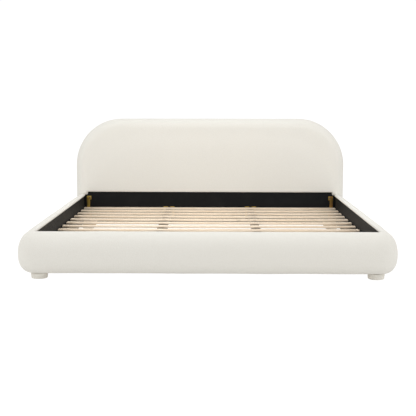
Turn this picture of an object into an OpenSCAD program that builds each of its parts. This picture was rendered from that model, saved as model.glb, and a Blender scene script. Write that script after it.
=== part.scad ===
// Upholstered platform bed with a rounded, puffy headboard. Millimetres, +Z up.
// The origin is on the floor at the middle of the bed, the headboard stands at +Y and the foot at -Y.

/* [Mattress well] */
// Distance between the centres that the two foot corners are rounded about
well_w = 1950; // [1700:10:2000]
// Distance from those centres to the face of the headboard
well_l = 2060; // [1950:10:2200]

/* [Padded border] */
// Reach of the padded border outward from the corner centres
border = 114; // [105:1:130]
// Top of the border above the floor
border_top = 274.5; // [270:0.5:290]
// Underside of the border above the floor
border_bottom = 33.5; // [30:0.5:36]
// Height at which the border bulges furthest
border_mid = 143; // [135:1:150]
// Distance from the corner centres out to the black lining
lip = 26; // [22:1:30]
// Overhang of the rolled edge past the black lining
lip_hang = 10; // [8:1:14]
// Half the thickness of the rolled edge
lip_r = 9; // [8:1:12]

/* [Headboard] */
// Width of the headboard
head_w = 2136; // [2100:2:2160]
// Height of the headboard above the floor
head_top = 871; // [850:1:1000]
// Thickness of the headboard
head_t = 150; // [140:2:160]
// Radius of the two top corners
head_corner_r = 370; // [300:5:400]
// Top of the black lining above the floor
head_lining_top = 293; // [285:1:300]

/* [Coverings and boards] */
// Thickness of the cream fabric
skin = 2; // [1.5:0.5:2.5]
// Thickness of the black lining cloth
lining_t = 1; // [0.8:0.2:1.2]
// Thickness of the boards inside the padding
board_t = 25; // [22:1:28]

/* [Slats] */
// Top of the slats above the floor
slat_top = 168.5; // [160:0.5:172]
// Width of a slat
slat_w = 60; // [54:1:66]
// Thickness of a slat
slat_t = 12; // [10:1:14]
// Even spacing of the slats
slat_pitch = 174; // [160:1:180]
// Depth of the side ledgers that carry the slats
ledger_h = 25; // [22:1:28]
// Width of the side ledgers
ledger_w = 46; // [40:1:50]

/* [Centre support] */
// Distance of each steel beam from the middle of the bed
beam_x = 325; // [300:5:400]
// Width and height of a beam
beam_w = 50; // [44:2:54]
// Distance of the support legs from the middle of the well
leg_y = 450; // [350:10:600]
// Radius of a support leg
leg_r = 19; // [18:1:22]

/* [Feet] */
// Radius of the round corner feet
foot_r = 49; // [45:1:52]
// Distance of the corner feet from the middle of the bed
foot_x = 969; // [955:1:975]

/* [Hidden] */
SLATS = 12;
SLAT_NAMES = [for (i = [1:SLATS]) str("slat_", i < 10 ? "0" : "", i)];
CORNER_NAMES = ["left_rear", "right_rear", "left_front", "right_front"];
$fn = 48;

cream = [0.93, 0.92, 0.88];
foam_yellow = [0.95, 0.9, 0.7];
charcoal = [0.13, 0.13, 0.13];
pine = [0.93, 0.82, 0.66];
particle_board = [0.76, 0.62, 0.45];
zinc_yellow = [0.78, 0.62, 0.24];
bright_steel = [0.75, 0.75, 0.77];
beam_black = [0.06, 0.06, 0.065];

eps = 0.01;
deep = 400;                                  // longer than anything it cuts through

// Planes along the bed
foot_lip_y = border - (border + well_l + head_t) / 2;
head_face_y = foot_lip_y + well_l;
head_mid_y = head_face_y + head_t / 2;
foot_lining_y = foot_lip_y - lip;
recess = 14;                                 // face of the headboard down to its board
head_board_y = head_face_y + recess;
head_lining_y = head_board_y - lining_t;
well_mid_y = (head_face_y + foot_lip_y) / 2;

// Planes across the bed, on the +X side
lip_x = well_w / 2;
lining_x = lip_x + lip;
board_x = lining_x + lining_t;

// Boards inside the border
board_bottom = 44;
board_chamfer = 14;                          // off the outer corners of the foot board
board_top = 256;
lip_underside = border_top - 2 * lip_r;

// Headboard
head_edge_r = head_t / 2;
head_lining_step = 268;                      // where the lining narrows, just under the side rails' top
head_core_inset = 38;                        // outline of the board inside the outline of the headboard
head_core_back_y = head_board_y + 84;
batten_count = 4;
batten_h = 60;
batten_first_z = board_bottom;
batten_last_z = 700;

// Slats, ledgers and beams
slat_bottom = slat_top - slat_t;
slat_half_l = lining_x - 6;
slat_first_y = head_lining_y - 11 - slat_w / 2;
ledger_gap = 11;                             // clearance at each end of a ledger
beam_bottom = slat_bottom - beam_w;
beam_wall = 2;

// Corner brackets
bracket_t = 3;
bracket_arm = 55;                            // reach along the end wall
bracket_side_arm = 62;                       // reach along the side rail
bracket_bottom = 66;
bracket_head_top = 257;
bracket_foot_top = 235;
bracket_side_bottom = 66;
bracket_side_top = 118;
bracket_ear = 30;
bracket_notch = 10;                          // how far the ears stand out from the upright strip
bracket_gap = 20;                            // from the upright strip to the side rail
bracket_bolt_inset = 11;                     // from the end of an ear to its bolt
bolt_r = 4;
bolt_head_r = 7;
bolt_head_h = 4;
bolt_hole_r = 4.1;
socket_r = 2.9;

// Beam brackets
hanger_half_w = 44;
hanger_top = 174;
hanger_bottom = 88;
hanger_notch = 20;
hanger_reach = 45;

// Wood screws
screw_l = 28;
screw_r = 2;
screw_head_r = 4;
screw_head_h = 2.4;
screw_hole_gap = 0.1;

// Corner feet and the blocks they screw into
block_w = 100;
block_top = 60;
foot_bolt_low = 9;
foot_bolt_high = 54;

// Support legs with their screw-down glides
leg_bottom = 16;
leg_floor_t = 12;
leg_cap_t = 4;
leg_wall = 2;
leg_stud_l = 12;
pad_r = 18;
pad_h = 10;
ball_r = 6;
ball_low = 4;
collar_across = 9.2;
thread_r = 5;
thread_top = 60;
running_gap = 0.05;

// ---------------------------------------------------------------- outlines

// Arc of a superellipse about (cx, cy) from angle a0 to a1; its first point is left out when skip is 1
function bow(cx, cy, rx, ry, n, a0, a1, steps, skip = 0) =
    [for (i = [skip:steps])
        let (a = a0 + (a1 - a0) * i / steps)
        [cx + rx * sign(cos(a)) * pow(abs(cos(a)), 2 / n),
         cy + ry * sign(sin(a)) * pow(abs(sin(a)), 2 / n)]];

function reversed(list) = [for (i = [len(list) - 1:-1:0]) list[i]];

// Outside of the border, as [reach outward from the corner centres, height]: under the rolled edge, over
// the top, down to the underside. inset moves the whole curve inward.
function border_curve(inset) = concat(
    bow(lip, border_top - lip_r, lip_hang - inset, lip_r - inset, 2, 270, 90, 12),
    bow(lip, border_mid, border - lip - inset, border_top - border_mid - inset, 2.13, 90, 0, 10, 1),
    bow(lip, border_mid, border - lip - inset, border_mid - border_bottom - inset, 2.42, 0, -90, 10, 1));

module border_skin() {
    polygon(concat(border_curve(0), reversed(border_curve(skin))));
}

module border_padding() {
    polygon(border_curve(skin));
}

// Section through the rounded edge of the headboard, reaching from the centre of a corner outward
module head_edge(inset) {
    half = head_edge_r - inset;
    polygon(concat(
        [[0, -half]],
        bow(head_corner_r - head_edge_r, 0, half, half, 2, -90, 90, 12),
        [[0, half]]));
}

// Arched outline with its feet at the height low
function arch(half_w, top, r, low) = concat(
    [[-half_w, low], [half_w, low]],
    bow(half_w - r, top - r, r, r, 2, 0, 90, 16),
    bow(r - half_w, top - r, r, r, 2, 90, 180, 16));

function rounded_bar(w, t, r) = concat(
    bow(w / 2 - r, t - r, r, r, 2, 0, 90, 4),
    bow(r - w / 2, t - r, r, r, 2, 90, 180, 4),
    bow(r - w / 2, r, r, r, 2, 180, 270, 4),
    bow(w / 2 - r, r, r, r, 2, 270, 360, 4));

// ---------------------------------------------------------------- placing

// Everything is built on the +X side; side is -1 for the left and 1 for the right
module on_side(side) {
    mirror([side < 0 ? 1 : 0, 0, 0]) children();
}

// A block given by its lowest and highest corners
module block(low, high) {
    translate(low) cube(high - low);
}

// Extrudes an upright section toward -Y
module run(length) {
    rotate([90, 0, 0]) linear_extrude(length) children();
}

// Extrudes an upright outline toward +Y from y
module slab(y, thick) {
    translate([0, y + thick, 0]) rotate([90, 0, 0]) linear_extrude(thick) children();
}

// Sweeps a border section along the foot and round both of its corners
module foot_sweep() {
    translate([lip_x, foot_lip_y, 0]) rotate([0, 0, -90]) run(well_w) children();
    for (side = [-1, 1])
        on_side(side) translate([lip_x, foot_lip_y, 0])
            rotate([0, 0, -90]) rotate_extrude(angle = 90) children();
}

// A wood screw pointing down from z = 0, with a gap all round when it is used as a hole
module screw(gap = 0) {
    translate([0, 0, -screw_head_h]) cylinder(r1 = screw_r + gap, r2 = screw_head_r + gap, h = screw_head_h);
    translate([0, 0, -screw_l]) cylinder(r = screw_r + gap, h = screw_l - screw_head_h);
    if (gap > 0) cylinder(r = screw_head_r + gap, h = 1);
}

// A button-head bolt pointing down from z = 0, through a bracket, a lining and a board
module button_bolt() {
    length = bracket_t + lining_t + board_t;
    translate([0, 0, -length]) cylinder(r = bolt_r, h = length);
    difference() {
        union() {
            cylinder(r = bolt_head_r, h = bolt_head_h / 2);
            translate([0, 0, bolt_head_h / 2])
                cylinder(r1 = bolt_head_r, r2 = bolt_head_r - 2, h = bolt_head_h / 2);
        }
        translate([0, 0, bolt_head_h / 2]) cylinder(r = socket_r, h = bolt_head_h, $fn = 6);
    }
}

// Turns something that points down so that it points outward along +X, toward +Y or toward -Y
module drive_side(x, y, z) { translate([x, y, z]) rotate([0, -90, 0]) children(); }
module drive_head(x, y, z) { translate([x, y, z]) rotate([90, 0, 0]) children(); }
module drive_foot(x, y, z) { translate([x, y, z]) rotate([-90, 0, 0]) children(); }

// Heights of the two bolts in the arm of a bracket that lies on an end wall
function ear_bolts(top) = [bracket_bottom + bracket_ear / 2, top - bracket_ear / 2];
ear_x = lining_x - bracket_arm + bracket_bolt_inset;
side_bolt_z = (bracket_side_bottom + bracket_side_top) / 2;
side_bolt_steps = [22, 48];

module head_corner_bolt_places() {
    for (z = ear_bolts(bracket_head_top))
        drive_head(ear_x, head_lining_y - bracket_t, z) children();
    for (d = side_bolt_steps)
        drive_side(lining_x - bracket_t, head_lining_y - d, side_bolt_z) children();
}

module foot_corner_bolt_places() {
    for (z = ear_bolts(bracket_foot_top))
        drive_foot(ear_x, foot_lining_y + bracket_t, z) children();
    for (d = side_bolt_steps)
        drive_side(lining_x - bracket_t, foot_lining_y + d, side_bolt_z) children();
}

module bolt_hole() {
    translate([0, 0, -deep / 4]) cylinder(r = bolt_hole_r, h = deep / 2);
}

// The four screws of a beam bracket, from its front face; z of the ears, then of the foot of the plate
hanger_screws = [[-28, 165], [28, 165], [-36, 96], [36, 96]];

module head_hanger_screw_places() {
    for (s = hanger_screws)
        drive_head(beam_x + s[0], head_lining_y - bracket_t, s[1]) children();
}

module foot_hanger_screw_places() {
    for (s = hanger_screws)
        drive_foot(beam_x + s[0], foot_lining_y + bracket_t, s[1]) children();
}

// ---------------------------------------------------------------- headboard

// The puffy headboard: straight sides, a straight top and two round corners, all with a full round edge
module puffy_slab(inset, low) {
    corner_x = head_w / 2 - head_corner_r;
    corner_z = head_top - head_corner_r;
    translate([0, head_mid_y, 0]) {
        translate([0, 0, low]) linear_extrude(corner_z - low) union() {
            square([2 * corner_x, 2 * (head_edge_r - inset)], center = true);
            for (a = [0, 180]) rotate(a) translate([corner_x, 0]) head_edge(inset);
        }
        translate([corner_x, 0, corner_z]) rotate([0, -90, 0]) linear_extrude(2 * corner_x) head_edge(inset);
        for (side = [-1, 1])
            on_side(side) translate([corner_x, 0, corner_z]) rotate([90, 0, 0])
                rotate_extrude(angle = 90) head_edge(inset);
    }
}

// Room in the padding for the lining, the brackets and the ends of the side rail boards
module head_recess() {
    block([-lining_x, head_face_y - deep, border_bottom - deep], [lining_x, head_board_y, head_lining_step]);
    block([-lip_x, head_face_y - deep, border_bottom - deep], [lip_x, head_board_y, head_lining_top]);
    for (side = [-1, 1])
        on_side(side) block([lining_x - eps, head_face_y - deep, board_bottom],
            [board_x + board_t, head_board_y, board_top]);
}

module head_core_outline() {
    polygon(arch(head_w / 2 - head_core_inset, head_top - head_core_inset,
        head_corner_r - head_core_inset, board_bottom));
}

module headboard_board() {
    color(particle_board) difference() {
        slab(head_board_y, board_t) head_core_outline();
        for (side = [-1, 1]) on_side(side) {
            for (z = ear_bolts(bracket_head_top)) drive_head(ear_x, head_board_y, z) bolt_hole();
            head_hanger_screw_places() screw(screw_hole_gap);
        }
    }
}

// Half length of a batten whose top is at z, so that it stays inside the arch
function batten_half(z) =
    let (r = head_corner_r - head_core_inset)
    let (cz = head_top - head_corner_r, flat = head_w / 2 - head_corner_r)
    flat + (z < cz ? r : sqrt(r * r - (z - cz) * (z - cz))) - 6;

module batten_stack() {
    pitch = (batten_last_z - batten_first_z) / (batten_count - 1);
    for (i = [0:batten_count - 1]) {
        z = batten_first_z + i * pitch;
        half = batten_half(z + batten_h);
        block([-half, head_board_y + board_t, z], [half, head_core_back_y, z + batten_h]);
    }
}

module headboard_battens() {
    color(pine) batten_stack();
}

module headboard_foam() {
    color(foam_yellow) difference() {
        puffy_slab(skin, border_bottom);
        slab(head_board_y, board_t) head_core_outline();
        batten_stack();
        head_recess();
    }
}

module headboard_cover() {
    color(cream) difference() {
        puffy_slab(0, border_bottom);
        puffy_slab(skin, border_bottom - 5);
        head_recess();
    }
}

// Black cloth on the board, wide between the side rails and narrower above their lips
module headboard_lining() {
    color(charcoal) difference() {
        slab(head_lining_y, lining_t) polygon([
            [-lining_x, board_bottom], [lining_x, board_bottom],
            [lining_x, head_lining_step], [lip_x, head_lining_step],
            [lip_x, head_lining_top], [-lip_x, head_lining_top],
            [-lip_x, head_lining_step], [-lining_x, head_lining_step]]);
        for (side = [-1, 1]) on_side(side) {
            for (z = ear_bolts(bracket_head_top)) drive_head(ear_x, head_board_y, z) bolt_hole();
            head_hanger_screw_places() screw(screw_hole_gap);
        }
    }
}

// ---------------------------------------------------------------- side rails

module rail_board(side) {
    color(particle_board) on_side(side) difference() {
        block([board_x, foot_lining_y - lining_t, board_bottom],
            [board_x + board_t, head_board_y, board_top]);
        for (d = side_bolt_steps, y = [head_lining_y - d, foot_lining_y + d])
            drive_side(board_x, y, side_bolt_z) bolt_hole();
    }
}

module rail_foam(side) {
    color(foam_yellow) on_side(side) difference() {
        translate([lip_x, head_face_y, 0]) run(well_l) border_padding();
        block([lining_x - 1, foot_lip_y - 1, board_bottom],
            [board_x + board_t, head_face_y + 1, lip_underside]);
        block([board_x, foot_lip_y - 1, board_bottom], [board_x + board_t, head_face_y + 1, board_top]);
    }
}

module rail_cover(side) {
    color(cream) on_side(side) translate([lip_x, head_face_y, 0]) run(well_l) border_skin();
}

module rail_lining(side) {
    color(charcoal) on_side(side) difference() {
        block([lining_x, foot_lining_y, board_bottom], [board_x, head_lining_y, lip_underside]);
        for (d = side_bolt_steps, y = [head_lining_y - d, foot_lining_y + d])
            drive_side(board_x, y, side_bolt_z) bolt_hole();
    }
}

// Batten along the side rail that the slat ends are screwed to
module ledger(side) {
    low = slat_bottom - ledger_h;
    color(pine) on_side(side) difference() {
        block([lining_x - ledger_w, foot_lining_y + ledger_gap, low],
            [lining_x, head_lining_y - ledger_gap, slat_bottom]);
        for (i = [0:SLATS - 1]) translate([slat_screw_x, slat_y(i), slat_top]) screw(screw_hole_gap);
    }
}

// ---------------------------------------------------------------- foot of the bed

module foot_core() {
    half = board_x + board_t;
    back = foot_lining_y - lining_t;
    translate([0, 0, board_bottom]) linear_extrude(board_top - board_bottom) polygon([
        [-half, back], [-half, back - board_t + board_chamfer], [-half + board_chamfer, back - board_t],
        [half - board_chamfer, back - board_t], [half, back - board_t + board_chamfer], [half, back]]);
}

module footboard_board() {
    color(particle_board) difference() {
        foot_core();
        for (side = [-1, 1]) on_side(side) {
            for (z = ear_bolts(bracket_foot_top)) drive_foot(ear_x, foot_lining_y, z) bolt_hole();
            foot_hanger_screw_places() screw(screw_hole_gap);
        }
    }
}

module footboard_foam() {
    half = board_x + board_t;
    back = foot_lining_y - lining_t;
    color(foam_yellow) difference() {
        foot_sweep() border_padding();
        foot_core();
        block([-lining_x, back - 1, board_bottom], [lining_x, foot_lip_y + 1, lip_underside]);
        for (side = [-1, 1]) on_side(side) {
            block([lining_x - 1, back - 1, board_bottom], [half, foot_lip_y + 1, lip_underside]);
            block([board_x, back - 1, board_bottom], [half, foot_lip_y + 1, board_top]);
        }
    }
}

module footboard_cover() {
    color(cream) foot_sweep() border_skin();
}

module footboard_lining() {
    color(charcoal) difference() {
        block([-lining_x, foot_lining_y - lining_t, board_bottom], [lining_x, foot_lining_y, lip_underside]);
        for (side = [-1, 1]) on_side(side) {
            for (z = ear_bolts(bracket_foot_top)) drive_foot(ear_x, foot_lining_y, z) bolt_hole();
            foot_hanger_screw_places() screw(screw_hole_gap);
        }
    }
}

// ---------------------------------------------------------------- corner joints

// Angle bracket: a C-shaped plate on the end wall at y, and a tab that turns along the side rail
module corner_bracket(y, toward, top) {
    inner_x = lining_x - bracket_arm;
    strip_x = lining_x - bracket_gap;
    wall_low = min(y, y + toward * bracket_t);
    side_low = min(y, y + toward * bracket_side_arm);
    color(zinc_yellow) difference() {
        union() {
            block([inner_x, wall_low, bracket_bottom], [strip_x, wall_low + bracket_t, top]);
            block([strip_x, wall_low, bracket_side_bottom],
                [lining_x, wall_low + bracket_t, bracket_side_top]);
            block([lining_x - bracket_t, side_low, bracket_side_bottom],
                [lining_x, side_low + bracket_side_arm, bracket_side_top]);
        }
        block([inner_x - 1, wall_low - 1, bracket_side_top],
            [inner_x + bracket_notch, wall_low + bracket_t + 1, top - bracket_ear]);
        children();
    }
}

module head_corner_bracket(side) {
    on_side(side) corner_bracket(head_lining_y, -1, bracket_head_top) head_corner_bolt_places() bolt_hole();
}

module foot_corner_bracket(side) {
    on_side(side) corner_bracket(foot_lining_y, 1, bracket_foot_top) foot_corner_bolt_places() bolt_hole();
}

module corner_bolts() {
    color(bright_steel) for (side = [-1, 1]) on_side(side) {
        head_corner_bolt_places() button_bolt();
        foot_corner_bolt_places() button_bolt();
    }
}

foot_ys = [foot_lip_y, foot_lip_y + well_l - 14];
block_ys = [foot_lining_y + block_w, head_lining_y - block_w];  // inner faces of the blocks

// Block in each corner that a foot screws into, its outer corner cut off to clear the rounded padding
module corner_blocks() {
    color(pine) for (side = [-1, 1], i = [0, 1]) on_side(side) difference() {
        translate([lining_x, block_ys[i], border_bottom]) mirror([0, 1 - i, 0])
            linear_extrude(block_top - border_bottom) polygon([
                [0, 0], [-block_w, 0], [-block_w, block_w], [-lip, block_w], [0, block_w - lip]]);
        translate([foot_x, foot_ys[i], 0]) cylinder(r = bolt_hole_r, h = foot_bolt_high + 1);
    }
}

// ---------------------------------------------------------------- corner feet

module corner_foot(side, y) {
    color(cream) on_side(side) translate([foot_x, y, 0]) rotate_extrude() polygon(concat(
        [[0, 0]],
        bow(foot_r - 8, 8, 6, 8, 2, 270, 360, 6),
        bow(foot_r - 3, border_bottom - 3, 3, 3, 2, 0, 90, 4),
        [[bolt_hole_r, border_bottom], [bolt_hole_r, foot_bolt_low], [0, foot_bolt_low]]));
}

module foot_bolts() {
    color(bright_steel) for (side = [-1, 1], y = foot_ys)
        on_side(side) translate([foot_x, y, foot_bolt_low])
            cylinder(r = bolt_r, h = foot_bolt_high - foot_bolt_low);
}

// ---------------------------------------------------------------- slats

function slat_y(i) = slat_first_y - slat_pitch * i;
slat_screw_x = slat_half_l - 17;

module slat(i) {
    color(pine) difference() {
        translate([-slat_half_l, slat_y(i), slat_bottom]) rotate([90, 0, 90])
            linear_extrude(2 * slat_half_l) polygon(rounded_bar(slat_w, slat_t, 2.5));
        for (side = [-1, 1]) translate([side * slat_screw_x, slat_y(i), slat_top]) screw(screw_hole_gap);
    }
}

module wood_screws() {
    color(bright_steel) for (side = [-1, 1]) on_side(side) {
        for (i = [0:SLATS - 1]) translate([slat_screw_x, slat_y(i), slat_top]) screw();
        head_hanger_screw_places() screw();
        foot_hanger_screw_places() screw();
    }
}

// ---------------------------------------------------------------- centre support

beam_low_y = foot_lining_y + bracket_t;
beam_high_y = head_lining_y - bracket_t;
leg_ys = [well_mid_y + leg_y, well_mid_y - leg_y];

module beam(side) {
    inner = beam_w / 2 - beam_wall;
    color(beam_black) on_side(side) difference() {
        block([beam_x - beam_w / 2, beam_low_y, beam_bottom],
            [beam_x + beam_w / 2, beam_high_y, slat_bottom]);
        block([beam_x - inner, beam_low_y - 1, beam_bottom + beam_wall],
            [beam_x + inner, beam_high_y + 1, slat_bottom - beam_wall]);
        for (y = leg_ys) translate([beam_x, y, beam_bottom - 1])
            cylinder(r = bolt_hole_r, h = beam_wall + 2);
    }
}

// Hanger for one beam end on the end wall at y: a plate with two ears, two cheeks and a seat
module beam_hanger(y, toward) {
    cheek = beam_w / 2 + 0.5;
    plate_low = min(y, y + toward * bracket_t);
    arm_low = min(y, y + toward * hanger_reach);
    difference() {
        union() {
            block([beam_x - hanger_half_w, plate_low, hanger_bottom],
                [beam_x + hanger_half_w, plate_low + bracket_t, hanger_top]);
            block([beam_x - cheek - bracket_t, arm_low, beam_bottom - bracket_t],
                [beam_x + cheek + bracket_t, arm_low + hanger_reach, slat_bottom - 8]);
        }
        block([beam_x - cheek, min(beam_low_y, y + toward * deep), beam_bottom],
            [beam_x + cheek, max(beam_high_y, y + toward * deep), slat_top + deep]);
        block([beam_x - hanger_notch / 2, plate_low - 1, slat_bottom],
            [beam_x + hanger_notch / 2, plate_low + bracket_t + 1, hanger_top + 1]);
        children();
    }
}

module head_beam_brackets() {
    color(zinc_yellow) for (side = [-1, 1])
        on_side(side) beam_hanger(head_lining_y, -1) head_hanger_screw_places() screw(screw_hole_gap);
}

module foot_beam_brackets() {
    color(zinc_yellow) for (side = [-1, 1])
        on_side(side) beam_hanger(foot_lining_y, 1) foot_hanger_screw_places() screw(screw_hole_gap);
}

// Tube with a threaded floor for the glide and a stud that screws into the beam
module support_leg(side, y) {
    color(beam_black) on_side(side) translate([beam_x, y, 0]) {
        difference() {
            translate([0, 0, leg_bottom]) cylinder(r = leg_r, h = beam_bottom - leg_bottom);
            translate([0, 0, leg_bottom + leg_floor_t])
                cylinder(r = leg_r - leg_wall, h = beam_bottom - leg_bottom - leg_floor_t - leg_cap_t);
            translate([0, 0, leg_bottom - 1]) cylinder(r = thread_r + running_gap, h = leg_floor_t + 2);
        }
        translate([0, 0, beam_bottom]) cylinder(r = bolt_r, h = leg_stud_l);
    }
}

module glide_pad(side, y) {
    color(charcoal) on_side(side) translate([beam_x, y, 0]) rotate_extrude() polygon([
        [0, 0], [pad_r - 1, 0], [pad_r, 1], [pad_r, 5], [pad_r - 6, pad_h], [ball_r + running_gap, pad_h],
        [ball_r + running_gap, ball_low], [0, ball_low]]);
}

// Foot that turns in the pad, hexagonal collar and thread
module glide_stud(side, y) {
    color(bright_steel) on_side(side) translate([beam_x, y, 0]) {
        translate([0, 0, ball_low]) cylinder(r = ball_r, h = pad_h + 1 - ball_low);
        translate([0, 0, pad_h + 1]) cylinder(r = collar_across, h = leg_bottom - pad_h - 1, $fn = 6);
        translate([0, 0, leg_bottom]) cylinder(r = thread_r, h = thread_top - leg_bottom);
    }
}

// ---------------------------------------------------------------- the assembly

headboard_board();
headboard_battens();
headboard_foam();
headboard_cover();
headboard_lining();
for (s = [["left", -1], ["right", 1]]) {
    rail_board(s[1]);
    rail_foam(s[1]);
    rail_cover(s[1]);
    rail_lining(s[1]);
    ledger(s[1]);
    beam(s[1]);
    head_corner_bracket(s[1]);
    foot_corner_bracket(s[1]);
    for (e = [["_front", 0], ["_rear", 1]]) {
        corner = str(s[0], e[0]);
        leg_place = leg_ys[1 - e[1]];
        corner_foot(s[1], foot_ys[e[1]]);
        support_leg(s[1], leg_place);
        glide_pad(s[1], leg_place);
        glide_stud(s[1], leg_place);
    }
}
footboard_board();
footboard_foam();
footboard_cover();
footboard_lining();
corner_bolts();
corner_blocks();
foot_bolts();
head_beam_brackets();
foot_beam_brackets();
wood_screws();
for (i = [0:SLATS - 1])
    slat(i);
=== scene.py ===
"""The looks of an upholstered bed with a rounded headboard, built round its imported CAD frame.

Metres, in the CAD frame: +X right seen from the foot, +Y from the foot to the headboard, +Z up.
"""

import math

import bmesh
import bpy
import numpy as np
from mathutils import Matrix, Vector, noise
from mathutils.bvhtree import BVHTree


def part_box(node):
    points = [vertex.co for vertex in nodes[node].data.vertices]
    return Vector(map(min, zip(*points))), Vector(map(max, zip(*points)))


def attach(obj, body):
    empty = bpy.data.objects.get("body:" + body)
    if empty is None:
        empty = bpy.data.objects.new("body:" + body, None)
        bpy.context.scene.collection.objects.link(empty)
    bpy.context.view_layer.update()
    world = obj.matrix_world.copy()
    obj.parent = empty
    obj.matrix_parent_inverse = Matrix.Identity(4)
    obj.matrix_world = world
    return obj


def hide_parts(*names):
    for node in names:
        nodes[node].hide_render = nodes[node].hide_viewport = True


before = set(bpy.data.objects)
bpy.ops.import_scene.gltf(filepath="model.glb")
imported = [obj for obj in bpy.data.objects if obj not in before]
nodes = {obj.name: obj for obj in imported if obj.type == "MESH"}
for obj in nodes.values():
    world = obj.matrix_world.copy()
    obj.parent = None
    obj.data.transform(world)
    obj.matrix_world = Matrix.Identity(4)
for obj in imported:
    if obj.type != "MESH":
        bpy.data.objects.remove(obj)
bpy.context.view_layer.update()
scene = bpy.context.scene

MM = 0.001


def side_name(side):
    """side is -1 on the left and +1 on the right, seen from the foot."""
    return "left" if side < 0 else "right"


# ---------------------------------------------------------------- camera, floor and light

CAMERA_PLACE = (0.0397, -6.2334, 1.0214)
CAMERA_DOWN = 0.1179  # radians below the horizon
CAMERA_TURN = 0.0076  # radians towards -X
CAMERA_ROLL = -0.0022  # radians, the picture's right side lower
CAMERA_LENS = 79.16  # millimetres on a 36 mm sensor
SKY = 0.78  # light from all round
SIDE_PLACE, SIDE_AIM, SIDE_SIZE = (4.2, -2.6, 1.9), (0.6, -0.6, 0.3), (2.6, 2.6)  # the right one
SOFTBOX_HEIGHT = 2.3  # of the two over the bed
OVERHEAD_PLACE, OVERHEAD_AIM, OVERHEAD_SIZE = (0, -0.8, SOFTBOX_HEIGHT), (0, 0.4, 0.4), (2.2, 1.2)
SLAT_PLACE, SLAT_AIM, SLAT_SIZE = (0, 0.1, SOFTBOX_HEIGHT), (0, 0.12, 0), (1.6, 1.2)
SIDE_WATTS = 24
OVERHEAD_WATTS = 15.5
SLAT_WATTS = 2.4
SLAT_SPREAD = 50  # degrees
COOL = (0.93, 0.97, 1.0)  # colour of the softboxes
FLOOR_REACH = 30
FLOOR_TONE = 0.8
FLOOR_GLOW = 1.25
GLOW_SHARE = 0.19  # share of glow in the floor's light, and the rest that only the camera sees
CAMERA_GLOW_SHARE = 0.57
WHITE = 1.05  # what the camera sees behind the bed


def make_camera():
    data = bpy.data.cameras.new("camera")
    data.lens = CAMERA_LENS
    data.sensor_width = 36
    data.clip_end = 100
    camera = bpy.data.objects.new("camera", data)
    camera.location = CAMERA_PLACE
    camera.rotation_euler = (math.pi / 2 - CAMERA_DOWN, CAMERA_ROLL, CAMERA_TURN)
    scene.collection.objects.link(camera)
    scene.camera = camera


def add_softbox(name, place, aim, size, watts, spread=180):
    data = bpy.data.lights.new(name, "AREA")
    data.spread = math.radians(spread)
    data.shape = "RECTANGLE"
    data.size, data.size_y = size
    data.energy = watts
    data.color = COOL
    light = bpy.data.objects.new(name, data)
    light.location = place
    toward = Vector(aim) - Vector(place)
    light.rotation_euler = toward.to_track_quat("-Z", "Y").to_euler()
    scene.collection.objects.link(light)


def make_studio():
    world = bpy.data.worlds.new("studio")
    world.use_nodes = True
    scene.world = world
    tree = world.node_tree
    sky = tree.nodes["Background"]
    sky.inputs["Color"].default_value = (1, 1, 1, 1)
    sky.inputs["Strength"].default_value = SKY
    backdrop = tree.nodes.new("ShaderNodeBackground")
    backdrop.inputs["Color"].default_value = (1, 1, 1, 1)
    backdrop.inputs["Strength"].default_value = WHITE
    pick = tree.nodes.new("ShaderNodeMixShader")
    path = tree.nodes.new("ShaderNodeLightPath")
    tree.links.new(path.outputs["Is Camera Ray"], pick.inputs[0])
    tree.links.new(sky.outputs[0], pick.inputs[1])
    tree.links.new(backdrop.outputs[0], pick.inputs[2])
    tree.links.new(pick.outputs[0], tree.nodes["World Output"].inputs[0])

    for side in (-1, 1):
        place, aim = [(side * point[0], *point[1:]) for point in (SIDE_PLACE, SIDE_AIM)]
        add_softbox(side_name(side) + "_softbox", place, aim, SIDE_SIZE, SIDE_WATTS)
    add_softbox("overhead_softbox", OVERHEAD_PLACE, OVERHEAD_AIM, OVERHEAD_SIZE, OVERHEAD_WATTS)
    add_softbox("slat_softbox", SLAT_PLACE, SLAT_AIM, SLAT_SIZE, SLAT_WATTS, SLAT_SPREAD)
    scene.view_settings.view_transform = "Standard"


def make_floor():
    mesh = bpy.data.meshes.new("floor")
    reach = FLOOR_REACH
    corners = [(-reach, -reach, 0), (reach, -reach, 0), (reach, reach, 0), (-reach, reach, 0)]
    mesh.from_pydata(corners, [], [(0, 1, 2, 3)])
    floor = bpy.data.objects.new("floor", mesh)
    scene.collection.objects.link(floor)
    mat = bpy.data.materials.new("pale_floor")
    mat.use_nodes = True
    tree = mat.node_tree
    shader = tree.nodes["Principled BSDF"]
    shader.inputs["Base Color"].default_value = (FLOOR_TONE, FLOOR_TONE, FLOOR_TONE, 1)
    shader.inputs["Roughness"].default_value = 1
    shader.inputs["Specular IOR Level"].default_value = 0
    glow = tree.nodes.new("ShaderNodeEmission")
    glow.inputs["Strength"].default_value = FLOOR_GLOW
    pick = tree.nodes.new("ShaderNodeMixShader")
    path = tree.nodes.new("ShaderNodeLightPath")
    share = tree.nodes.new("ShaderNodeMath")
    share.operation = "MULTIPLY_ADD"
    share.inputs[1].default_value = CAMERA_GLOW_SHARE
    share.inputs[2].default_value = GLOW_SHARE
    tree.links.new(path.outputs["Is Camera Ray"], share.inputs[0])
    tree.links.new(share.outputs[0], pick.inputs[0])
    tree.links.new(shader.outputs[0], pick.inputs[1])
    tree.links.new(glow.outputs[0], pick.inputs[2])
    tree.links.new(pick.outputs[0], tree.nodes["Material Output"].inputs[0])
    mesh.materials.append(mat)


make_camera()
make_studio()
make_floor()


# ---------------------------------------------------------------- material helpers


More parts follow.
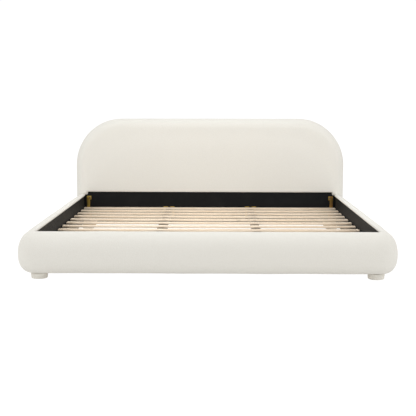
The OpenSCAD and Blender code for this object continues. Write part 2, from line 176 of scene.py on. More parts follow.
class Finish:
    """A material in the making: a Principled shader and the nodes that feed it."""

    def __init__(self, name, **sockets):
        self.material = bpy.data.materials.new(name)
        self.material.use_nodes = True
        self.tree = self.material.node_tree
        self.shader = self.tree.nodes["Principled BSDF"]
        for key, value in sockets.items():
            self.shader.inputs[key.replace("_", " ")].default_value = value

    def add(self, kind, feeds=None, **props):
        """A new node. feeds maps an input's name or number to a value or to another node's output."""
        node = self.tree.nodes.new("ShaderNode" + kind)
        for key, value in props.items():
            setattr(node, key, value)
        for key, value in (feeds or {}).items():
            if isinstance(value, bpy.types.NodeSocket):
                self.tree.links.new(value, node.inputs[key])
            else:
                node.inputs[key].default_value = value
        return node

    def place(self, stretch=(1, 1, 1)):
        """Object coordinates, stretched."""
        coords = self.add("TexCoord").outputs["Object"]
        return self.add("Mapping", {"Vector": coords, "Scale": stretch}).outputs[0]

    def noise(self, vector, scale, detail=2.0, rough=0.5, distortion=0.0):
        feeds = {"Vector": vector, "Scale": scale, "Detail": detail, "Roughness": rough}
        return self.add("TexNoise", {**feeds, "Distortion": distortion}).outputs["Fac"]

    def cells(self, vector, scale, feature="F1"):
        node = self.add("TexVoronoi", {"Vector": vector, "Scale": scale}, feature=feature)
        return node.outputs["Distance"]

    def math(self, operation, a, b=0.0, c=0.0):
        return self.add("Math", {0: a, 1: b, 2: c}, operation=operation).outputs[0]

    def span(self, value, low, high, to_low=0.0, to_high=1.0):
        """value from low..high to to_low..to_high, clamped."""
        feeds = {"Value": value, 1: low, 2: high, 3: to_low, 4: to_high}
        return self.add("MapRange", feeds).outputs[0]

    def mix(self, factor, first, second):
        node = self.add("Mix", data_type="RGBA")
        for socket, value in zip((node.inputs[0], node.inputs[6], node.inputs[7]), (factor, first, second)):
            if isinstance(value, bpy.types.NodeSocket):
                self.tree.links.new(value, socket)
            else:
                socket.default_value = (*value, 1) if isinstance(value, tuple) else value
        return node.outputs[2]

    def colour(self, socket):
        self.tree.links.new(socket, self.shader.inputs["Base Color"])

    def roughness(self, socket):
        self.tree.links.new(socket, self.shader.inputs["Roughness"])

    def bump(self, height, strength, distance):
        node = self.add("Bump", {"Height": height, "Strength": strength, "Distance": distance})
        self.tree.links.new(node.outputs[0], self.shader.inputs["Normal"])


# ---------------------------------------------------------------- materials


def cream_boucle():
    """Short looped cream upholstery cloth."""
    soft = {"Sheen_Weight": 0.15, "Sheen_Roughness": 0.6}
    f = Finish("cream_boucle", Roughness=0.95, Specular_IOR_Level=0.2, **soft)
    at = f.place()
    loops = f.cells(at, 340)
    curls = f.noise(at, 520, detail=3, rough=0.6, distortion=1.2)
    slubs = f.noise(at, 70, detail=2)
    cloudy = f.noise(at, 2.2, detail=1)
    height = f.math("ADD", f.math("MULTIPLY", loops, -0.8), f.math("MULTIPLY", curls, 0.7))
    height = f.math("ADD", height, f.math("MULTIPLY", slubs, 0.5))
    # painted shade: the valleys between the loops are painted darker, towards (0.74, 0.70, 0.62)
    gap_shade = f.span(loops, 0.25, 0.75)
    yarn = f.mix(f.span(curls, 0.35, 0.65), (0.83, 0.80, 0.735), (0.885, 0.862, 0.80))
    yarn = f.mix(f.math("MULTIPLY", gap_shade, 0.35), yarn, (0.74, 0.70, 0.62))
    f.colour(f.mix(f.span(cloudy, 0.4, 0.6, 0, 0.12), yarn, (0.83, 0.79, 0.71)))
    f.bump(height, 0.45, 1.2 * MM)
    return f.material


def black_nonwoven():
    """Spun-bonded lining cloth with its grid of pressed dots."""
    soft = {"Sheen_Weight": 0.02, "Sheen_Roughness": 0.4}
    f = Finish("black_nonwoven", Roughness=0.6, Specular_IOR_Level=0.18, **soft)
    at = f.place()
    split = f.add("SeparateXYZ", {0: at})
    along = f.math("ADD", split.outputs[0], split.outputs[1])
    flat = f.add("CombineXYZ", {0: along, 1: split.outputs[2]}).outputs[0]
    dots = f.add("TexVoronoi", {"Vector": flat, "Scale": 420.0, "Randomness": 0.08}).outputs["Distance"]
    fibres = f.noise(f.place(), 900, detail=3, rough=0.7, distortion=2.0)
    dust = f.noise(at, 9, detail=3)
    shade = f.mix(f.span(fibres, 0.35, 0.7), (0.0025, 0.003, 0.0035), (0.0085, 0.009, 0.0095))
    shade = f.mix(f.span(dots, 0.0, 0.35, 0.6, 0), shade, (0.002, 0.002, 0.002))
    f.colour(f.mix(f.span(dust, 0.5, 0.75, 0, 0.25), shade, (0.02, 0.019, 0.018)))
    f.bump(f.math("ADD", f.span(dots, 0.1, 0.4), f.math("MULTIPLY", fibres, 0.5)), 0.4, 0.4 * MM)
    return f.material


def pine(name, pale, dark, knots, along="X"):
    """Sawn or planed pine with its grain along one axis."""
    f = Finish(name, Specular_IOR_Level=0.35)
    long_way = {"X": (0.06, 1, 1), "Y": (1, 0.06, 1)}[along]
    at = f.place(long_way)
    sway = f.noise(at, 7, detail=2)
    grain = f.noise(at, 110, detail=4, rough=0.6, distortion=0.6)
    split = f.add("SeparateXYZ", {0: at})
    across = split.outputs[1] if along == "X" else split.outputs[0]
    rings = f.math("SINE", f.math("MULTIPLY", f.math("ADD", across, f.math("MULTIPLY", sway, 0.09)), 900))
    board_tone = f.noise(f.place((0.4, 6, 1) if along == "X" else (6, 0.4, 1)), 2.6, detail=0)
    knot = f.cells(f.place((1, 4, 4) if along == "X" else (4, 1, 4)), 3.2)
    tone = f.math("ADD", f.math("MULTIPLY", grain, 0.75), f.span(rings, -1, 1, 0, 0.35))
    wood = f.mix(f.span(tone, 0.3, 0.95), pale, dark)
    wood = f.mix(f.span(board_tone, 0.3, 0.7, 0, 0.3), wood, dark)
    wood = f.mix(f.span(knot, 0.02, 0.075, knots, 0), wood, tuple(c * 0.42 for c in dark))
    f.colour(wood)
    f.roughness(f.span(grain, 0.3, 0.7, 0.5, 0.68))
    f.bump(f.math("ADD", grain, f.math("MULTIPLY", rings, 0.1)), 0.25, 0.35 * MM)
    return f.material


def particle_board():
    f = Finish("particle_board", Roughness=0.85)
    at = f.place()
    flakes = f.add("TexVoronoi", {"Vector": f.place((1, 1, 3)), "Scale": 260.0})
    tint = f.span(flakes.outputs["Color"], 0.0, 1.0)
    chips = f.mix(tint, (0.50, 0.35, 0.20), (0.72, 0.56, 0.36))
    f.colour(f.mix(f.span(f.noise(at, 30), 0.35, 0.65, 0, 0.4), chips, (0.60, 0.45, 0.28)))
    f.bump(flakes.outputs["Distance"], 0.3, 0.5 * MM)
    return f.material


def yellow_zinc():
    """Yellow-passivated zinc plate with its faint rainbow cast."""
    f = Finish("yellow_zinc", Metallic=1.0)
    at = f.place()
    cast = f.noise(at, 55, detail=2, distortion=1.0)
    scuffs = f.noise(f.place((1, 1, 0.15)), 700, detail=3)
    gold = f.mix(f.span(cast, 0.35, 0.65), (0.42, 0.27, 0.055), (0.52, 0.38, 0.10))
    gold = f.mix(f.span(f.noise(at, 23), 0.5, 0.7, 0, 0.6), gold, (0.42, 0.17, 0.09))
    f.colour(gold)
    f.roughness(f.span(scuffs, 0.3, 0.7, 0.28, 0.5))
    f.bump(scuffs, 0.12, 0.15 * MM)
    return f.material


def bright_zinc():
    f = Finish("bright_zinc", Metallic=1.0)
    scuffs = f.noise(f.place(), 900, detail=3)
    f.colour(f.mix(f.span(scuffs, 0.3, 0.7), (0.62, 0.63, 0.66), (0.80, 0.80, 0.82)))
    f.roughness(f.span(f.noise(f.place(), 160), 0.3, 0.7, 0.22, 0.42))
    f.bump(scuffs, 0.1, 0.1 * MM)
    return f.material


def dark_zinc():
    """Dark passivated zinc on bolts."""
    f = Finish("dark_zinc", Metallic=1.0)
    scuffs = f.noise(f.place(), 900, detail=3)
    f.colour(f.mix(f.span(scuffs, 0.3, 0.7), (0.20, 0.13, 0.11), (0.34, 0.25, 0.22)))
    f.roughness(f.span(f.noise(f.place(), 160), 0.3, 0.7, 0.25, 0.45))
    f.bump(scuffs, 0.1, 0.1 * MM)
    return f.material


def black_powder_coat():
    f = Finish("black_powder_coat", Specular_IOR_Level=0.45)
    peel = f.noise(f.place(), 420, detail=2)
    f.colour(f.mix(f.span(f.noise(f.place(), 14), 0.4, 0.7), (0.012, 0.012, 0.013), (0.024, 0.024, 0.025)))
    f.roughness(f.span(peel, 0.3, 0.7, 0.38, 0.52))
    f.bump(peel, 0.3, 0.25 * MM)
    return f.material


def black_nylon():
    f = Finish("black_nylon")
    speck = f.noise(f.place(), 1300, detail=2)
    f.colour(f.mix(f.span(speck, 0.4, 0.7), (0.014, 0.014, 0.014), (0.03, 0.03, 0.03)))
    f.roughness(f.span(speck, 0.3, 0.7, 0.45, 0.6))
    f.bump(speck, 0.2, 0.15 * MM)
    return f.material


def cream_paint():
    """Matt cream paint on turned wood."""
    f = Finish("cream_paint", Specular_IOR_Level=0.3)
    at = f.place()
    roller = f.noise(at, 480, detail=2)
    soft = f.noise(f.place((1, 1, 6)), 16, detail=3)
    f.colour(f.mix(f.span(soft, 0.35, 0.7), (0.86, 0.83, 0.76), (0.80, 0.76, 0.68)))
    f.roughness(f.span(roller, 0.3, 0.7, 0.5, 0.66))
    f.bump(f.math("ADD", roller, soft), 0.2, 0.3 * MM)
    return f.material


CREAM = cream_boucle()
LINING = black_nonwoven()
SLAT = pine("slat_pine", (0.99, 0.84, 0.67), (0.89, 0.69, 0.49), 0.6)
LEDGER = pine("ledger_pine", (0.70, 0.54, 0.34), (0.50, 0.34, 0.19), 0.8, along="Y")
BATTEN = pine("batten_pine", (0.70, 0.54, 0.34), (0.50, 0.34, 0.19), 0.8)
BOARD = particle_board()
ZINC = yellow_zinc()
STEEL = bright_zinc()
DARK_ZINC = dark_zinc()
POWDER = black_powder_coat()
NYLON = black_nylon()
PAINT = cream_paint()


# ---------------------------------------------------------------- mesh helpers


def new_object(name, verts, faces, material):
    mesh = bpy.data.meshes.new(name)
    mesh.from_pydata([tuple(v) for v in verts], [], faces)
    mesh.validate()
    tidy = bmesh.new()
    tidy.from_mesh(mesh)
    bmesh.ops.remove_doubles(tidy, verts=tidy.verts, dist=0.05 * MM)
    bmesh.ops.recalc_face_normals(tidy, faces=tidy.faces)
    tidy.to_mesh(mesh)
    tidy.free()
    mesh.polygons.foreach_set("use_smooth", [True] * len(mesh.polygons))
    mesh.materials.append(material)
    obj = bpy.data.objects.new(name, mesh)
    scene.collection.objects.link(obj)
    return obj


def coords_of(mesh):
    co = np.empty(len(mesh.vertices) * 3)
    mesh.vertices.foreach_get("co", co)
    return co.reshape(-1, 3)


def set_coords(mesh, co):
    mesh.vertices.foreach_set("co", np.ascontiguousarray(co, float).ravel())
    mesh.update()


def normals_of(mesh):
    no = np.empty(len(mesh.vertices) * 3)
    mesh.vertices.foreach_get("normal", no)
    return no.reshape(-1, 3)


def subdivide(obj, levels=1):
    """Bakes Catmull-Clark subdivision into the mesh."""
    mod = obj.modifiers.new("smooth", "SUBSURF")
    mod.levels = mod.render_levels = levels
    mod.boundary_smooth = "PRESERVE_CORNERS"
    apply_modifiers(obj)


def apply_modifiers(obj):
    graph = bpy.context.evaluated_depsgraph_get()
    mesh = bpy.data.meshes.new_from_object(obj.evaluated_get(graph))
    obj.modifiers.clear()
    old = obj.data
    obj.data = mesh
    mesh.name = old.name
    bpy.data.meshes.remove(old)


SMOOTH_ROUNDS = 12  # of evening out a simulated swelling
COVER_CLOTH = {
    "quality": 6,
    "mass": 0.15,
    "tension_stiffness": 25,
    "compression_stiffness": 25,
    "shear_stiffness": 12,
    "bending_stiffness": 2,
}


def puff(obj, pinned, pressure=6.0, most=5 * MM, frames=20):
    """Swells a closed cover over its foam by cloth simulation, held where pinned(co) is true.

    Only the outward part of the motion is kept, evened out over the mesh.
    """
    mesh = obj.data
    rest = coords_of(mesh)
    held = [int(i) for i in np.nonzero(pinned(rest))[0]]
    group = obj.vertex_groups.new(name="held")
    group.add(held, 1.0, "REPLACE")
    cloth = obj.modifiers.new("cloth", "CLOTH")
    for setting, value in COVER_CLOTH.items():
        setattr(cloth.settings, setting, value)
    cloth.settings.use_pressure = True
    cloth.settings.uniform_pressure_force = pressure
    cloth.settings.vertex_group_mass = group.name
    cloth.settings.effector_weights.gravity = 0
    cloth.collision_settings.use_collision = False
    cloth.point_cache.frame_start, cloth.point_cache.frame_end = 1, frames
    for step in range(1, frames + 1):
        scene.frame_set(step)
    graph = bpy.context.evaluated_depsgraph_get()
    swollen = coords_of(obj.evaluated_get(graph).to_mesh())
    outward = normals_of(mesh)
    rise = np.maximum(np.einsum("ij,ij->i", swollen - rest, outward), 0)
    rise = most * np.tanh(rise / most)
    rise[held] = 0
    edges = np.array([edge.vertices[:] for edge in mesh.edges])
    count = np.bincount(edges.ravel(), minlength=len(rest))
    for _ in range(SMOOTH_ROUNDS):
        around = np.bincount(edges[:, 0], rise[edges[:, 1]], len(rest))
        around += np.bincount(edges[:, 1], rise[edges[:, 0]], len(rest))
        rise = (rise + around / count) / 2
        rise[held] = 0
    obj.modifiers.remove(cloth)
    obj.vertex_groups.clear()
    scene.frame_set(1)
    set_coords(mesh, rest + outward * rise[:, None])
    print(obj.name, "swelled up to", round(float(rise.max() / MM), 2), "mm")


def unevenness(obj, height, size, seed, free=None):
    """Slow hand-made unevenness of foam and wadding, along the normals."""
    mesh = obj.data
    co, no = coords_of(mesh), normals_of(mesh)
    shift = Vector((seed * 7.3, seed * 3.1, seed * 1.7))
    wave = np.array([noise.noise(Vector(p) / size + shift) for p in co])
    if free is not None:
        wave *= free(co)
    set_coords(mesh, co + no * (wave * height)[:, None])


def dress(obj, material_slot, *replaced, body="frame"):
    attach(obj, body)
    if replaced:
        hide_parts(*replaced)
    return obj


def smoothstep(t):
    t = np.clip(t, 0, 1)
    return t * t * (3 - 2 * t)


# ---------------------------------------------------------------- sizes from the CAD frame

rail_low, rail_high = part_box("right_rail_cover")
head_low, head_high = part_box("headboard_cover")
lining_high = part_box("headboard_lining")[1]

LIP_BACK = 26 * MM  # from the corner centres out to the lining
LIP_HANG = 10 * MM  # overhang of the rolled edge past the lining
LIP_R = 9 * MM
LIP_X = rail_low.x - LIP_BACK + LIP_HANG  # the corner centres
BORDER = rail_high.x - LIP_X
TOP_Z, LOW_Z = rail_high.z, rail_low.z
MID_Z = 143 * MM  # where the border bulges furthest
TOP_POWER, LOW_POWER = 2.13, 2.42  # superellipse powers above and below that height

FACE_Y = rail_high.y  # front of the headboard
FOOT_LIP_Y = rail_low.y
HEAD_HALF_W = head_high.x
HEAD_TOP = head_high.z
HEAD_R = (head_high.y - head_low.y) / 2  # full round edge
HEAD_MID_Y = (head_high.y + head_low.y) / 2
HEAD_CORNER_R = 370 * MM
LINING_TOP = lining_high.z
RECESS_Y = lining_high.y + 1 * MM  # where the padding lies behind the lining
RECESS_SIDE = 7 * MM  # how far the recess runs past the corner centres
RECESS_SPARE = 5 * MM  # and past the lining, behind the rails
RECESS_SLOPE = 10 * MM
SHOULDER_DROP, SHOULDER_SLOPE = 20 * MM, 8 * MM  # where it widens behind the rails, from the lining's top
HEAD_ROLL = 6 * MM  # rolled edge of the headboard's padding over its lining
HEAD_END_R, FOOT_END_R = 6 * MM, 3 * MM  # rounding of the ends of the rails


# ---------------------------------------------------------------- padded border


def bow(cu, cz, ru, rz, power, a0, a1, steps):
    """Arc of a superellipse from angle a0 to a1, in degrees."""
    points = []
    for i in range(steps + 1):
        a = math.radians(a0 + (a1 - a0) * i / steps)
        c, s = math.cos(a), math.sin(a)
        u = cu + ru * math.copysign(abs(c) ** (2 / power), c)
        z = cz + rz * math.copysign(abs(s) ** (2 / power), s)
        points.append((u, z))
    return points


def even(points, count):
    """count + 1 points at even distances along a polyline."""
    p = np.array(points)
    run = np.concatenate([[0], np.cumsum(np.linalg.norm(np.diff(p, axis=0), axis=1))])
    at = np.linspace(0, run[-1], count + 1)
    return np.stack([np.interp(at, run, p[:, 0]), np.interp(at, run, p[:, 1])], axis=1)


def border_loop(inset):
    """Closed section of the border as [reach outward from the lip, height], all the way round."""
    in_u = LIP_BACK + 2 * MM
    under = TOP_Z - 2 * LIP_R + inset
    low = LOW_Z + inset
    wall = even([(in_u, low), (in_u, under)], 12)
    lip = even(bow(LIP_BACK, TOP_Z - LIP_R, LIP_HANG - inset, LIP_R - inset, 2, 270, 90, 40), 7)
    reach = BORDER - LIP_BACK - inset
    over = even(bow(LIP_BACK, MID_Z, reach, TOP_Z - MID_Z - inset, TOP_POWER, 90, 0, 60), 13)
    below = even(bow(LIP_BACK, MID_Z, reach, MID_Z - LOW_Z - inset, LOW_POWER, 0, -90, 60), 12)
    return np.concatenate([wall[:-1], lip[:-1], over[:-1], below[:-1]])


def end_insets(radius, steps=4):
    """Rounding of an end: (distance from the end, inset) from the end inward."""
    pairs = []
    for i in range(steps + 1):
        a = math.pi / 2 * i / steps
        pairs.append((radius * (1 - math.sin(a)), radius * (1 - math.cos(a))))
    return pairs[::-1]


def sweep(name, stations):
    """A closed tube through stations of (x, y, outward x, outward y, inset), with flat ends."""
    loops = []
    for x, y, ox, oy, inset in stations:
        loop = border_loop(inset)
        loops.append(np.stack([x + ox * loop[:, 0], y + oy * loop[:, 0], loop[:, 1]], axis=1))
    n = len(loops[0])
    faces = []
    for s in range(len(loops) - 1):
        for i in range(n):
            j = (i + 1) % n
            faces.append((s * n + i, s * n + j, (s + 1) * n + j, (s + 1) * n + i))
    faces.append(tuple(range(n)))
    faces.append(tuple((len(loops) - 1) * n + i for i in range(n)))
    return new_object(name, np.concatenate(loops), faces, CREAM)


def rail_padding(side):
    name = side_name(side)
    head_end = [(FACE_Y - d, inset) for d, inset in end_insets(HEAD_END_R)]
    foot_end = [(FOOT_LIP_Y + d, inset) for d, inset in end_insets(FOOT_END_R, 3)]
    first, last = foot_end[-1][0], head_end[-1][0]
    middle = [(y, 0.0) for y in np.linspace(first, last, 104)[1:-1]]
    run = foot_end + middle + head_end[::-1]
    obj = sweep(name + "_rail_padding", [(side * LIP_X, y, side, 0, inset) for y, inset in run])
    pad_border(obj, seed=3 + side)
    dress(obj, "cover_fabric", name + "_rail_cover", name + "_rail_foam")


def foot_padding():
    """The foot of the border and both of its corners, which close round the ends of the rails."""
    corner = [math.radians(a) for a in np.linspace(0, 90, 13)]
    left = [(-LIP_X, FOOT_LIP_Y, -math.cos(a), -math.sin(a), 0.0) for a in corner]
    right = [(LIP_X, FOOT_LIP_Y, math.cos(a), -math.sin(a), 0.0) for a in corner[::-1]]
    straight = [(x, FOOT_LIP_Y, 0, -1, 0.0) for x in np.linspace(-LIP_X, LIP_X, 100)[1:-1]]
    obj = sweep("foot_padding", left + straight + right)
    pad_border(obj, seed=7)
    dress(obj, "cover_fabric", "footboard_cover", "footboard_foam")


def border_pins(co):
    """The inside wall, where the cover is stapled, and the two ends."""
    beside = np.abs(co[:, 0]) - LIP_X
    reach = np.maximum(beside, FOOT_LIP_Y - co[:, 1])
    head_end = np.abs(co[:, 1] - FACE_Y) < 3 * MM
    foot_end = (np.abs(co[:, 1] - FOOT_LIP_Y) < 1 * MM) & (beside > 0)
    wall = (reach < LIP_BACK + 3 * MM) & (co[:, 2] < TOP_Z - 2 * LIP_R + 4 * MM)
    return head_end | foot_end | wall


def free_border(co):
    """1 where the cover is free, falling to 0 along the inside wall."""
    reach = np.maximum(np.abs(co[:, 0]) - LIP_X, FOOT_LIP_Y - co[:, 1])
    above = np.clip((co[:, 2] - (TOP_Z - 2 * LIP_R)) / (15 * MM), 0, 1)
    return np.maximum(np.clip((reach - LIP_BACK - 4 * MM) / (20 * MM), 0, 1), above)


def pad_border(obj, seed):
    puff(obj, border_pins)
    subdivide(obj)
    unevenness(obj, 1.6 * MM, 0.22, seed, free_border)


# ---------------------------------------------------------------- padded headboard


def spaced(low, high, step):
    count = max(1, round((high - low) / step))
    return list(np.linspace(low, high, count + 1))


def edge_steps(edge, inward, steps=9):
    """Places from a round edge inward, closest together at the edge."""
    return [edge + inward * HEAD_R * (1 - math.cos(math.pi / 2 * i / steps)) for i in range(steps + 1)]


def head_lines():
    """Grid lines across and up the headboard, with extra ones at the edges of its recess."""
    right = sorted(edge_steps(HEAD_HALF_W, -1))
    near = [LIP_X + d * MM for d in (-14, -6, 0, 6, 14, 22, 29, 34, 39)]
    half = spaced(0, LIP_X - 24 * MM, 20 * MM) + near + [x for x in right if x > near[-1] + 3 * MM]
    xs = sorted([-x for x in half if x > 0]) + half
    roll = [LINING_TOP + d * MM for d in (-42, -34, -26, -18, -10, -5, -3, -1.5, 0.5, 3, 6, 12, 18, 26)]
    top = sorted(edge_steps(HEAD_TOP, -1))
    zs = [LOW_Z, LOW_Z + 3 * MM, LOW_Z + 8 * MM] + spaced(LOW_Z + 20 * MM, roll[0] - 14 * MM, 20 * MM)
    zs += roll + spaced(roll[-1] + 14 * MM, top[0] - 16 * MM, 19 * MM) + top
    return np.array(xs), np.array(zs)


def arch_place(x, z):
    """Moves a point of the bounding rectangle onto the arch, and says how far inside its outline it is."""
    cx, cz = HEAD_HALF_W - HEAD_CORNER_R, HEAD_TOP - HEAD_CORNER_R
    side = math.copysign(1, x)
    u, v = (abs(x) - cx) / HEAD_CORNER_R, (z - cz) / HEAD_CORNER_R
    if u <= 0 or v <= 0:
        return x, z, min(HEAD_HALF_W - abs(x), HEAD_TOP - z)
    pu, pv = u * math.sqrt(1 - v * v / 2), v * math.sqrt(1 - u * u / 2)
    inside = HEAD_CORNER_R * (1 - math.hypot(pu, pv))
    return side * (cx + pu * HEAD_CORNER_R), cz + pv * HEAD_CORNER_R, inside


def head_padding():
    xs, zs = head_lines()
    n, m = len(xs), len(zs)
    verts = []
    for facing in (-1, 1):
        for z in zs:
            for x in xs:
                px, pz, inside = arch_place(x, z)
                t = min(max(inside, 0) / HEAD_R, 1)
                depth = HEAD_R * math.sqrt(max(0, 1 - (1 - t) ** 2))
                verts.append([px, HEAD_MID_Y + facing * depth, pz])
    verts = np.array(verts)
    # the recess behind the lining, which is wider below the tops of the rails
    front = np.arange(n * m)
    px, pz = verts[front, 0], verts[front, 2]
    behind_rail = smoothstep((LINING_TOP - SHOULDER_DROP - pz) / SHOULDER_SLOPE)
    half_w = LIP_X + RECESS_SIDE + behind_rail * (LIP_BACK + RECESS_SPARE)
    into = smoothstep((half_w - np.abs(px)) / RECESS_SLOPE)
    rise = np.clip((LINING_TOP + HEAD_ROLL / 2 - pz) / HEAD_ROLL, 0, 1)
    into *= 1 - np.sqrt(1 - rise ** 2)
    verts[front, 1] = np.maximum(verts[front, 1], FACE_Y + into * (RECESS_Y - FACE_Y))
    faces = []
    for layer in (0, n * m):
        for j in range(m - 1):
            for i in range(n - 1):
                a = layer + j * n + i
                faces.append((a, a + 1, a + n + 1, a + n))
    # the underside, in strips from front to back
    strips = 6
    base = len(verts)
    under = []
    for k in range(1, strips):
        t = k / strips
        for i in range(n):
            under.append(verts[i] * (1 - t) + verts[n * m + i] * t)
    verts = np.concatenate([verts, np.array(under)])
    rows = [0] + [base + k * n for k in range(strips - 1)] + [n * m]
    for a, b in zip(rows, rows[1:]):
        for i in range(n - 1):
            faces.append((a + i, a + i + 1, b + i + 1, b + i))
    obj = new_object("headboard_padding", verts, faces, CREAM)

    def pins(co):
        low = co[:, 2] < LOW_Z + 2 * MM
        behind = (co[:, 1] > FACE_Y + 9 * MM) & (co[:, 1] < RECESS_Y + 1 * MM)
        behind &= np.abs(co[:, 0]) < LIP_X + LIP_BACK + 6 * MM
        return low | (behind & (co[:, 2] < LINING_TOP + 2 * MM))

    puff(obj, pins)
    subdivide(obj)
    unevenness(obj, 1.8 * MM, 0.3, 11, lambda co: np.where(co[:, 2] < LINING_TOP + 5 * MM, 0.0, 1.0))
    dress(obj, "cover_fabric", "headboard_cover", "headboard_foam")
    return obj


headboard = head_padding()
rail_padding(-1)
rail_padding(1)
foot_padding()


# ---------------------------------------------------------------- lining cloth


def cloth_grid(name, across, up, place, thick, material):
    """A thin sheet of cloth: place(u, v, depth) gives the point, and depth is how far behind the face."""
    n, m = len(across), len(up)
    verts = [place(u, v, depth) for depth in (0.0, thick) for v in up for u in across]
    faces = []
    for layer in (0, n * m):
        for j in range(m - 1):
            for i in range(n - 1):
                a = layer + j * n + i
                faces.append((a, a + 1, a + n + 1, a + n))
    rim = list(range(n)) + [j * n + n - 1 for j in range(1, m)]
    rim += [(m - 1) * n + i for i in range(n - 2, -1, -1)] + [j * n for j in range(m - 2, 0, -1)]
    for a, b in zip(rim, rim[1:] + rim[:1]):
        faces.append((a, b, b + n * m, a + n * m))
    return new_object(name, verts, faces, material)


STAPLE_GAP = 46 * MM


def slack(u, v, top, seed):
    """How far lining stands off its board: slow waves, and puckers from the staples at its top."""
    slow = noise.noise(Vector((u * 3.1, v * 9.0, seed))) * 0.5 + 0.5
    pucker = abs(math.sin(math.pi * u / STAPLE_GAP + 2.1 * noise.noise(Vector((u * 6.0, seed, 0)))))
    near_top = math.exp(-max(top - v, 0) / (16 * MM))
    return (0.75 * slow + 0.5 * pucker * near_top) * MM


LINING_T, WRAP_T = 0.8 * MM, 0.4 * MM  # thickness of the cloth on the walls and on the ledgers


def rail_lining(side):
    name = side_name(side) + "_rail_lining"
    low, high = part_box(name)
    face = min(abs(low.x), abs(high.x))
    across = spaced(low.y, high.y, 11 * MM)
    up = spaced(low.z, high.z, 12 * MM)

    def place(u, v, depth):
        return side * (face + LINING_T - slack(u, v, high.z, 5 + side) + depth - LINING_T), u, v

    obj = cloth_grid(name + "_cloth", across, up, place, LINING_T, LINING)
    dress(obj, "lining_cloth", name)


def end_lining(name, toward):
    """Lining of an end wall; toward is +1 where it faces +Y."""
    low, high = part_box(name)
    face = high.y if toward > 0 else low.y
    half = high.x
    across = spaced(-LIP_X - 2 * MM, LIP_X + 2 * MM, 11 * MM)
    across = [-half, -half + 12 * MM] + across + [half - 12 * MM, half]
    up = spaced(0, 1, 1 / 20)
    shoulder = min(high.z, LINING_TOP - 25 * MM)

    def place(u, v, depth):
        top = high.z if abs(u) < LIP_X + 3 * MM else shoulder
        z = low.z + v * (top - low.z)
        return u, face + toward * (slack(u, z, high.z, 9 + toward) - depth), z

    obj = cloth_grid(name + "_cloth", across, up, place, LINING_T, LINING)
    dress(obj, "lining_cloth", name)


def ledger_wrap(side):
    """Lining cloth over the top and the inner face of a ledger."""
    name = side_name(side) + "_ledger"
    low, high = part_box(name)
    outer, inner = max(abs(low.x), abs(high.x)), min(abs(low.x), abs(high.x))
    fold = outer - inner
    across = spaced(low.y + 1 * MM, high.y - 1 * MM, 15 * MM)
    up = spaced(0, fold - 1 * MM, 8 * MM) + [fold + d * MM for d in (-0.3, 0.3)]
    up += spaced(fold + 2 * MM, fold + high.z - low.z - 1 * MM, 6 * MM)

    def place(u, v, depth):
        over = min(v, fold)
        down = max(v - fold, 0)
        rise, out = (WRAP_T - depth, 0) if down == 0 else (0, WRAP_T - depth)
        return side * (outer - over - out), u, high.z + rise - down

    obj = cloth_grid(name + "_wrap", across, up, place, WRAP_T, LINING)
    dress(obj, "lining_cloth")


rail_lining(-1)
rail_lining(1)
ledger_wrap(-1)
ledger_wrap(1)
end_lining("headboard_lining", -1)
end_lining("footboard_lining", 1)


# ---------------------------------------------------------------- back of the headboard

PANEL_INSET = 72 * MM
PANEL_LOW = LOW_Z + 14 * MM
PANEL_T = 1.2 * MM
PANEL_LIFT, PIPING_LIFT = 1.6 * MM, 1.2 * MM  # of the panel's face and the piping's middle off the padding
PANEL_PULL = 0.8 * MM  # how far the panel is drawn in beside its piping
PIPING_R = 3 * MM


def back_surface():
    """A function that gives the y of the headboard's back at (x, z)."""
    mesh = headboard.data
    tree = BVHTree.FromPolygons([v.co[:] for v in mesh.vertices], [p.vertices[:] for p in mesh.polygons])
    behind = head_high.y + 0.1

    def at(x, z):
        hit = tree.ray_cast(Vector((x, behind, z)), Vector((0, -1, 0)))[0]
        return hit.y if hit else head_high.y

    return at


def panel_place(x, z, half_w, top, corner_r):
    """Moves a point of a rectangle onto an arch of the given size."""
    u, v = (abs(x) - (half_w - corner_r)) / corner_r, (z - (top - corner_r)) / corner_r
    if u <= 0 or v <= 0:
        return x, z
    px = half_w - corner_r + u * math.sqrt(1 - v * v / 2) * corner_r
    return math.copysign(px, x), top - corner_r + v * math.sqrt(1 - u * u / 2) * corner_r


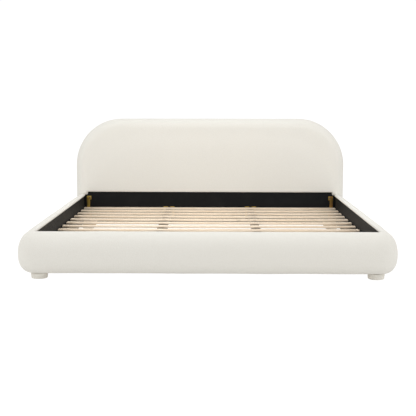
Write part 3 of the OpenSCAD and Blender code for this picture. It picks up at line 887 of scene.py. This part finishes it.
def back_panel():
    """Panel of the same cloth, drawn tight over the back inside a piped edge."""
    back = back_surface()
    half_w, top, corner_r = HEAD_HALF_W - PANEL_INSET, HEAD_TOP - PANEL_INSET, HEAD_CORNER_R - PANEL_INSET
    low = PANEL_LOW
    across, up = spaced(-half_w, half_w, 20 * MM), spaced(low, top, 20 * MM)

    def place(u, v, depth):
        x, z = panel_place(u, v, half_w, top, corner_r)
        pull = PANEL_PULL * abs(math.sin(x * 31)) * math.exp(-min(top - z, half_w - abs(x)) / (30 * MM))
        return x, back(x, z) + PANEL_LIFT - pull - depth, z

    obj = cloth_grid("headboard_back_panel", across, up, place, PANEL_T, CREAM)
    dress(obj, "cover_fabric")

    outline = [(half_w, low + (top - corner_r - low) * i / 24) for i in range(24)]
    arc = [math.pi / 2 * i / 16 for i in range(17)]
    cx, cz = half_w - corner_r, top - corner_r
    outline += [(cx + corner_r * math.cos(a), cz + corner_r * math.sin(a)) for a in arc]
    outline += [(x, top) for x in np.linspace(cx, 0, 22)[1:]]
    outline += [(-x, z) for x, z in outline[-2::-1]]
    curve = bpy.data.curves.new("piping_path", "CURVE")
    curve.dimensions = "3D"
    curve.bevel_depth = PIPING_R
    curve.bevel_resolution = 3
    curve.use_fill_caps = True
    line = curve.splines.new("POLY")
    line.points.add(len(outline) - 1)
    for point, (x, z) in zip(line.points, outline):
        point.co = (x, back(x, z) + PIPING_LIFT, z, 1)
    carrier = bpy.data.objects.new("piping_path", curve)
    scene.collection.objects.link(carrier)
    mesh = bpy.data.meshes.new_from_object(carrier.evaluated_get(bpy.context.evaluated_depsgraph_get()))
    bpy.data.objects.remove(carrier)
    mesh.polygons.foreach_set("use_smooth", [True] * len(mesh.polygons))
    mesh.materials.clear()
    mesh.materials.append(CREAM)
    piping = bpy.data.objects.new("headboard_back_piping", mesh)
    scene.collection.objects.link(piping)
    dress(piping, "cover_fabric")


back_panel()


# ---------------------------------------------------------------- finishes of the CAD nodes

FINISHES = [
    ("slat_", SLAT),
    ("wood_screws", STEEL),
    ("corner_bolts", DARK_ZINC),
    ("foot_bolts", STEEL),
    ("corner_blocks", BATTEN),
    ("headboard_battens", BATTEN),
    ("_ledger", LEDGER),
    ("_lining", LINING),
    ("_board", BOARD),
    ("_bracket", ZINC),
    ("_beam", POWDER),
    ("_support_leg", POWDER),
    ("_glide_pad", NYLON),
    ("_glide_stud", STEEL),
    ("_foot", PAINT),
]

# how far the edges are rounded off, by part of a node's name, and for all other nodes
EDGES = [
    ("slat_", 0.6 * MM),
    ("_board", 0.8 * MM),
    ("_ledger", 1.2 * MM),
    ("battens", 1.2 * MM),
    ("blocks", 1.2 * MM),
]
PLAIN_EDGE = 0.5 * MM
WELD_REACH = 0.01 * MM
EDGE_ANGLE = math.radians(35)  # sharper than this is an edge

for node_name, node in nodes.items():
    finish = next((material for part, material in FINISHES if part in node_name), CREAM)
    node.data.materials.clear()
    node.data.materials.append(finish)
    soften = next((width for part, width in EDGES if part in node_name), PLAIN_EDGE)
    node.data.polygons.foreach_set("use_smooth", [True] * len(node.data.polygons))
    weld = node.modifiers.new("weld", "WELD")
    weld.merge_threshold = WELD_REACH
    edge = node.modifiers.new("soft_edges", "BEVEL")
    edge.width = soften
    edge.segments = 2
    edge.limit_method = "ANGLE"
    edge.angle_limit = EDGE_ANGLE
    edge.harden_normals = True
